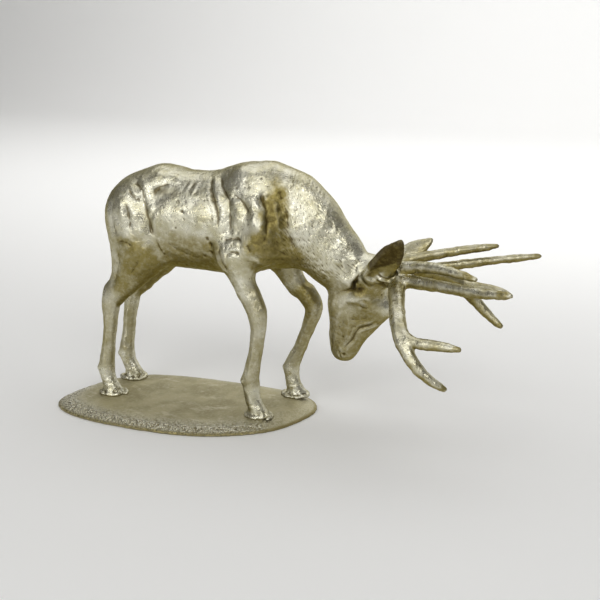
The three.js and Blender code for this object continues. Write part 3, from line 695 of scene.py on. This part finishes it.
# Painted shade on the antlers: they darken where they face down and all over the far, left antler. The
# base share and the stains are tarnish.
tarnish_and_painted_light = np.maximum(tarnish_and_painted_light, antler * (0.2 + 0.3 * (outward > 0) + 0.7 * downward + 0.2 * stains))
tarnish_and_painted_light = np.maximum(tarnish_and_painted_light, leg * (0.52 + 0.2 * noise(work.points, 15.0, 67)))
for route, _, _ in rods.values():
    tip_away = np.linalg.norm(mirrored - np.asarray(route[-1], float), axis=1)
    tarnish_and_painted_light = np.maximum(tarnish_and_painted_light, 0.9 * step(tip_away, 9, 4))
for side in (-1, 1):
    ear_axis, _ = nearest_on(face, [ear_root * [1, -side, 1], ear_tip * [1, -side, 1]])
    lobe = step(ear_axis, 17, 13)
    ear = lobe * (side * face[:, 1] > 19) * step(face[:, 0], 196, 203) * step(face[:, 2], 146, 150)
    # Painted shade: each ear's cup, the face turned forward and outward, is painted dark brown and
    # counted as hollow; on the right ear this only happens towards the tip. The left ear also gets a
    # light tarnish all over.
    inside = step(facing @ [0.35, side * 0.9, -0.2], -0.3, 0.1) * ear
    if side < 0:
        inside = inside * step(ear_along + 0.035 * across, 0.3, 0.42)
        top_face = step(work.normals @ [0.1, -1.0, -0.1], 0.0, 0.3) * step(ear_along, 0.5, 0.62) * ear
        inside = np.maximum(inside, top_face)
    else:
        tarnish_and_painted_light = np.maximum(tarnish_and_painted_light, 0.35 * ear)
    tarnish_and_painted_light = np.maximum(tarnish_and_painted_light, 1.6 * inside)
    work.hollow = np.clip(np.maximum(work.hollow, 0.7 * inside), 0, 1)
# Painted light on the head: the brow is kept clear of tarnish as a painted highlight, and a patch under
# the ruff is painted dark brown as shade. The rest of the head gets a tarnish.
brow = np.exp(-np.hypot((face[:, 0] - 179) / 8, (face[:, 2] - 126) / 5) ** 2)
under_ruff = np.exp(-np.hypot((face[:, 0] - 187) / 9, (face[:, 2] - 137) / 5) ** 2)
head = step(face[:, 0], 146, 152) * step(face[:, 2], 148, 138) * step(face[:, 0], 210, 204)
tarnish_and_painted_light = np.maximum(tarnish_and_painted_light, head * (0.66 + 0.3 * noise(work.points, 12.0, 68)))
tarnish_and_painted_light = tarnish_and_painted_light * (1 - brow * head) + 0.85 * under_ruff * head
give(stag, "hollow", work.hollow)
give(stag, "fine", fine * (1 - 0.65 * np.clip(antler + leg, 0, 1)))
give(stag, "broad", broad)
give(stag, "painted_light_and_tarnish", tarnish_and_painted_light)
thin_out(stag, STAG_TRIANGLES)


class Finish:
    """A material under construction: each call adds one node and returns its main output."""

    def __init__(self, name):
        self.material = bpy.data.materials.new(name)
        self.material.use_nodes = True
        self.nodes = self.material.node_tree.nodes
        self.links = self.material.node_tree.links
        self.shader = self.nodes["Principled BSDF"]

    def feed(self, socket, value):
        if isinstance(value, bpy.types.NodeSocket):
            self.links.new(value, socket)
        else:
            socket.default_value = value

    def place(self, stretch=(1, 1, 1), turn=(0, 0, 0)):
        coordinates = self.nodes.new("ShaderNodeTexCoord")
        mapping = self.nodes.new("ShaderNodeMapping")
        mapping.inputs["Scale"].default_value = stretch
        mapping.inputs["Rotation"].default_value = turn
        self.links.new(coordinates.outputs["Object"], mapping.inputs["Vector"])
        return mapping.outputs["Vector"]

    def clouds(self, where, scale, detail=3.0, rough=0.55):
        node = self.nodes.new("ShaderNodeTexNoise")
        self.links.new(where, node.inputs["Vector"])
        node.inputs["Scale"].default_value = scale
        node.inputs["Detail"].default_value = detail
        node.inputs["Roughness"].default_value = rough
        return node.outputs["Fac"]

    def cells(self, where, scale):
        node = self.nodes.new("ShaderNodeTexVoronoi")
        self.links.new(where, node.inputs["Vector"])
        node.inputs["Scale"].default_value = scale
        return node.outputs["Distance"]

    def number(self, name):
        node = self.nodes.new("ShaderNodeAttribute")
        node.attribute_name = name
        return node.outputs["Fac"]

    def facing(self):
        """How far the surface faces up: 1 straight up, -1 straight down."""
        geometry = self.nodes.new("ShaderNodeNewGeometry")
        split = self.nodes.new("ShaderNodeSeparateXYZ")
        self.links.new(geometry.outputs["Normal"], split.inputs["Vector"])
        return split.outputs["Z"]

    def spread(self, value, low, high, out_low=0.0, out_high=1.0):
        node = self.nodes.new("ShaderNodeMapRange")
        node.interpolation_type = "SMOOTHSTEP"
        for socket, number in zip(node.inputs, (value, low, high, out_low, out_high)):
            self.feed(socket, number)
        return node.outputs["Result"]

    def sum(self, kind, first, second):
        node = self.nodes.new("ShaderNodeMath")
        node.operation = kind
        self.feed(node.inputs[0], first)
        self.feed(node.inputs[1], second)
        return node.outputs["Value"]

    def mix(self, share, first, second):
        node = self.nodes.new("ShaderNodeMix")
        node.data_type = "RGBA"
        self.feed(node.inputs["Factor"], share)
        self.feed(node.inputs["A"], first)
        self.feed(node.inputs["B"], second)
        return node.outputs["Result"]

    def bump(self, height, strength, distance, under=None):
        node = self.nodes.new("ShaderNodeBump")
        node.inputs["Strength"].default_value = strength
        node.inputs["Distance"].default_value = distance
        self.links.new(height, node.inputs["Height"])
        if under is not None:
            self.links.new(under, node.inputs["Normal"])
        return node.outputs["Normal"]

    def finish(self, piece, **inputs):
        for name, value in inputs.items():
            self.feed(self.shader.inputs[name.replace("_", " ").title()], value)
        piece.data.materials.clear()
        piece.data.materials.append(self.material)


SILVER = (0.77, 0.75, 0.615, 1)         # the metal where it is rubbed bright
STRAW = (0.56, 0.525, 0.35, 1)          # and where it is duller
OLIVE = (0.285, 0.236, 0.08, 1)         # thin tarnish, and painted shade on surfaces that face down
BROWN = (0.10, 0.073, 0.024, 1)         # thick tarnish, and painted shade in creases, pits and hollows
HOLE_SHADOW = (0.02, 0.016, 0.009, 1)          # painted shadow on the floor of the deepest holes
EDGE = (0.50, 0.46, 0.30, 1)            # what the metal mirrors at a glancing angle

bronze = Finish("bright_cast_bronze")
everywhere = bronze.place()
blotch = bronze.clouds(everywhere, 48, 5, 0.65)
mottle = bronze.clouds(everywhere, 240, 4, 0.65)
speckle = bronze.clouds(everywhere, 620, 2, 0.5)
grit = bronze.clouds(everywhere, 1500, 2, 0.5)
brushed = bronze.clouds(bronze.place((200, 900, 900), (0, 0.75, 0)), 1.0, 3, 0.6)
# Painted shade: where the surface faces down, and in its broad hollows, the colour goes over to olive and
# brown.
underside_shade = bronze.spread(bronze.facing(), 0.15, -0.6)
hollow = bronze.number("hollow")
broad_hollow = bronze.spread(bronze.number("broad"), 0.15, 1.4)
fine_hollow = bronze.spread(bronze.number("fine"), 0.03, 0.22)
proud = bronze.spread(bronze.number("fine"), -0.02, -0.15)
colour = bronze.mix(bronze.spread(blotch, 0.34, 0.68), SILVER, STRAW)
# The tarnish number also carries painted shade and a painted highlight. The painted shade of undersides
# and broad hollows is added to it here.
painted_light_and_tarnish = bronze.sum("MAXIMUM", bronze.sum("MULTIPLY", underside_shade, 0.9), bronze.number("painted_light_and_tarnish"))
painted_light_and_tarnish = bronze.sum("ADD", painted_light_and_tarnish, bronze.sum("MULTIPLY", broad_hollow, 0.5))
painted_light_and_tarnish = bronze.sum("MULTIPLY", painted_light_and_tarnish, bronze.spread(mottle, 0.3, 0.62, 0.75, 1.05))
colour = bronze.mix(bronze.spread(painted_light_and_tarnish, 0.08, 1.0), colour, OLIVE)
colour = bronze.mix(bronze.spread(painted_light_and_tarnish, 0.95, 1.7), colour, BROWN)
spots = bronze.sum("MULTIPLY", bronze.spread(speckle, 0.55, 0.75, 0.0, 0.4), painted_light_and_tarnish)
colour = bronze.mix(spots, colour, BROWN)
# Painted shade, with brown patina: the fine hollows, creases, dents and pits are painted brown, and the
# deepest holes near black as painted shadow.
colour = bronze.mix(bronze.sum("MULTIPLY", fine_hollow, 0.75), colour, BROWN)
colour = bronze.mix(bronze.spread(hollow, 0.25, 1.0, 0.0, 0.5), colour, BROWN)
colour = bronze.mix(bronze.spread(hollow, 0.84, 1.0, 0.0, 0.8), colour, HOLE_SHADOW)
bare = bronze.sum("MULTIPLY", proud, bronze.spread(painted_light_and_tarnish, 0.1, 1.1, 0.5, 0.08))
colour = bronze.mix(bare, colour, SILVER)
rough = bronze.spread(mottle, 0.3, 0.7, 0.21, 0.36)
rough = bronze.sum("ADD", rough, bronze.sum("MULTIPLY", painted_light_and_tarnish, 0.12))
rough = bronze.sum("ADD", rough, bronze.sum("MULTIPLY", hollow, 0.2))
bumps = bronze.bump(blotch, 0.5, 0.0030)
bumps = bronze.bump(mottle, 0.5, 0.0010, bumps)
bumps = bronze.bump(speckle, 0.5, 0.0005, bumps)
bumps = bronze.bump(grit, 0.3, 0.0002, bumps)
bumps = bronze.bump(brushed, 0.3, 0.0004, bumps)
bronze.finish(stag, base_color=colour, metallic=1.0, roughness=rough, normal=bumps, specular_tint=EDGE)

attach(stag, "root")
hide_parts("stag")

# ------------------------------------------------------------------ The plate
# A flat oblong casting in duller bronze. Its rim slopes down in a pebbled band to a thin lip,
# and the stag is brazed to it at the four hooves.

PLATE_GRAIN = 0.0011            # edge of the small squares of its modelled surface
PLATE_TRIANGLES = 90000
PEBBLE_HEIGHT = 0.85            # in mm
CAST_DENTS = 0.16               # depth in mm of the soft dents all over the upper face

plate = copy_of("base", "plate_casting")
modify(plate, "REMESH", mode="VOXEL", voxel_size=PLATE_GRAIN)
ground = Modelling(plate)
ground.points = relaxed(ground.points, ground.edges, 0.5, 4)
ground.look()
forward, outward, up = ground.points.T
top = step(up, -7.0, -4.0) * step(ground.normals[:, 2], 0.2, 0.7)
sloping = step(up, -0.05, -0.9)
near_rim = relaxed(sloping[:, None], ground.edges, 0.9, 90)[:, 0]
# The band is boldest along the right side and fades out round the two ends.
bold = step(outward, 0, -36) * step(forward, 116, 84) + 0.25
band = np.clip(near_rim * bold, 0, 1)
pebbles = 0.6 * noise(ground.points, 2.1, 91) + 0.45 * noise(ground.points, 3.6, 92)
ground.move(top * (band * PEBBLE_HEIGHT * pebbles + CAST_DENTS * noise(ground.points, 6.0, 93)))
ground.look()
give(plate, "fine", ground.below(relaxed(ground.points, ground.edges, 0.7, 4)))
give(plate, "rim", band)
give(plate, "lip", step(up, -4.4, -5.4))
thin_out(plate, PLATE_TRIANGLES)

RUBBED = (0.53, 0.485, 0.305, 1)        # the two greys of the flat face
DULL = (0.39, 0.35, 0.205, 1)
FLECK = (0.62, 0.58, 0.42, 1)           # brighter grains
SMEAR = (0.74, 0.70, 0.53, 1)           # streaks where the face was wiped
GRIME_AND_SHADE = (0.2, 0.17, 0.09, 1)            # grime, and painted shade, between the pebbles

dull = Finish("dull_plate_bronze")
everywhere = dull.place()
blotch = dull.clouds(everywhere, 40, 4, 0.6)
mottle = dull.clouds(everywhere, 330, 3, 0.6)
grit = dull.clouds(everywhere, 1300, 2, 0.5)
rim = dull.number("rim")
proud = dull.spread(dull.number("fine"), -0.02, -0.2)
sunk = dull.spread(dull.number("fine"), 0.02, 0.2)
colour = dull.mix(dull.spread(blotch, 0.35, 0.65), RUBBED, DULL)
colour = dull.mix(dull.spread(mottle, 0.45, 0.75, 0.0, 0.5), colour, FLECK)
smears = dull.clouds(dull.place((1, 1.8, 1), (0, 0, 0.4)), 34, 5, 0.7)
colour = dull.mix(dull.spread(smears, 0.56, 0.7, 0.0, 0.6), colour, SMEAR)
pebble = dull.cells(everywhere, 560)
proud = dull.sum("MAXIMUM", proud, dull.spread(pebble, 0.55, 0.2))
sunk = dull.sum("MAXIMUM", dull.sum("MULTIPLY", sunk, 0.6), dull.spread(pebble, 0.66, 0.85, 0.0, 0.8))
colour = dull.mix(dull.sum("MULTIPLY", rim, 0.35), colour, SILVER)
colour = dull.mix(dull.sum("MULTIPLY", proud, rim), colour, SILVER)
# Painted shade, with grime: the rim goes dark where it is sunk between the pebbles.
colour = dull.mix(dull.sum("MULTIPLY", sunk, rim), colour, GRIME_AND_SHADE)
colour = dull.mix(dull.sum("MULTIPLY", dull.number("lip"), 0.85), colour, OLIVE)
rough = dull.sum("SUBTRACT", 0.6, dull.sum("MULTIPLY", rim, 0.33))
raised = dull.sum("MULTIPLY", dull.spread(pebble, 0.8, 0.0), rim)
bumps = dull.bump(raised, 0.8, 0.0012)
bumps = dull.bump(mottle, 0.3, 0.0005, bumps)
bumps = dull.bump(grit, 0.35, 0.0003, bumps)
dull.finish(plate, base_color=colour, metallic=0.9, roughness=rough, normal=bumps)

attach(plate, "root")
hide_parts("base")

# ------------------------------------------------------------------ Floor, light and camera
# A pale studio floor that sweeps up behind. The key softbox stands far off to the camera's left;
# weaker ones stand to the right, high in front and overhead, one lights the sweep, and the sky is dim.

SWEEP_REACH = 2.2               # half the depth of the level floor
SWEEP_RADIUS = 0.9
SWEEP_FACETS = 12
WALL_HEIGHT = 3
bpy.ops.object.select_all(action="DESELECT")
bpy.ops.mesh.primitive_plane_add(size=2, location=(0, 0, 0))
floor = bpy.context.active_object
floor.name = "studio_floor"
floor.scale = (5, SWEEP_REACH, 1)
bpy.ops.object.transform_apply(location=True, rotation=True, scale=True)
bpy.ops.object.mode_set(mode="EDIT")
bpy.ops.mesh.select_mode(type="EDGE")
bpy.ops.mesh.select_all(action="DESELECT")
bpy.ops.object.mode_set(mode="OBJECT")
for edge in floor.data.edges:
    edge.select = all(floor.data.vertices[end].co.y > 0 for end in edge.vertices)
bpy.ops.object.mode_set(mode="EDIT")
run = SWEEP_RADIUS * math.radians(90 / SWEEP_FACETS)
for facet in range(SWEEP_FACETS):
    angle = math.radians(90 / SWEEP_FACETS * (facet + 0.5))
    shift = (0, run * math.cos(angle), run * math.sin(angle))
    bpy.ops.mesh.extrude_region_move(TRANSFORM_OT_translate={"value": shift})
bpy.ops.mesh.extrude_region_move(TRANSFORM_OT_translate={"value": (0, 0, WALL_HEIGHT)})
bpy.ops.object.mode_set(mode="OBJECT")
bpy.ops.object.shade_smooth()
Finish("pale_floor").finish(floor, base_color=(0.92, 0.92, 0.91, 1), roughness=0.8)

LOOK_AT = Vector((0.1115, 0.0315, 0.118))


def softbox(name, place, size, power, aim=LOOK_AT):
    """A soft rectangular lamp: where it stands, its width and height in metres, and its watts."""
    light = bpy.data.lights.new(name, "AREA")
    light.shape = "RECTANGLE"
    light.size, light.size_y = size
    light.energy = power
    lamp = bpy.data.objects.new(name, light)
    bpy.context.collection.objects.link(lamp)
    lamp.location = place
    lamp.rotation_euler = (Vector(aim) - Vector(place)).to_track_quat("-Z", "Y").to_euler()


softbox("key_softbox", (-0.6, -2.7, 1.02), (1.9, 1.2), 19.5)
softbox("right_softbox", (1.25, -1.45, 1.5), (1.0, 1.0), 9)
softbox("front_softbox", (0.1, -1.5, 1.9), (2.3, 0.9), 8.5)
softbox("overhead_softbox", (0.1, 0.7, 2.0), (2.9, 1.7), 15.5)
softbox("backdrop_softbox", (0.1, 0.9, 1.7), (2.6, 0.6), 38, aim=(0.1, 3.0, 0.6))

SKY_STRENGTH = 0.19
world = bpy.data.worlds.new("studio_air")
world.use_nodes = True
world.node_tree.nodes["Background"].inputs["Color"].default_value = (1.0, 0.98, 0.94, 1)
world.node_tree.nodes["Background"].inputs["Strength"].default_value = SKY_STRENGTH
bpy.context.scene.world = world
bpy.context.scene.view_settings.view_transform = "Standard"

AZIMUTH = math.radians(22)      # round from the stag's right side towards its head
ELEVATION = math.radians(16)
DISTANCE = 1.1
LENS, SENSOR = 66, 36           # in mm
camera = bpy.data.objects.new("camera", bpy.data.cameras.new("camera"))
bpy.context.collection.objects.link(camera)
back = Vector((
    math.sin(AZIMUTH) * math.cos(ELEVATION),
    -math.cos(AZIMUTH) * math.cos(ELEVATION),
    math.sin(ELEVATION),
))
camera.location = LOOK_AT + back * DISTANCE
camera.rotation_euler = (-back).to_track_quat("-Z", "Y").to_euler()
camera.data.lens = LENS
camera.data.sensor_width = SENSOR
bpy.context.scene.camera = camera
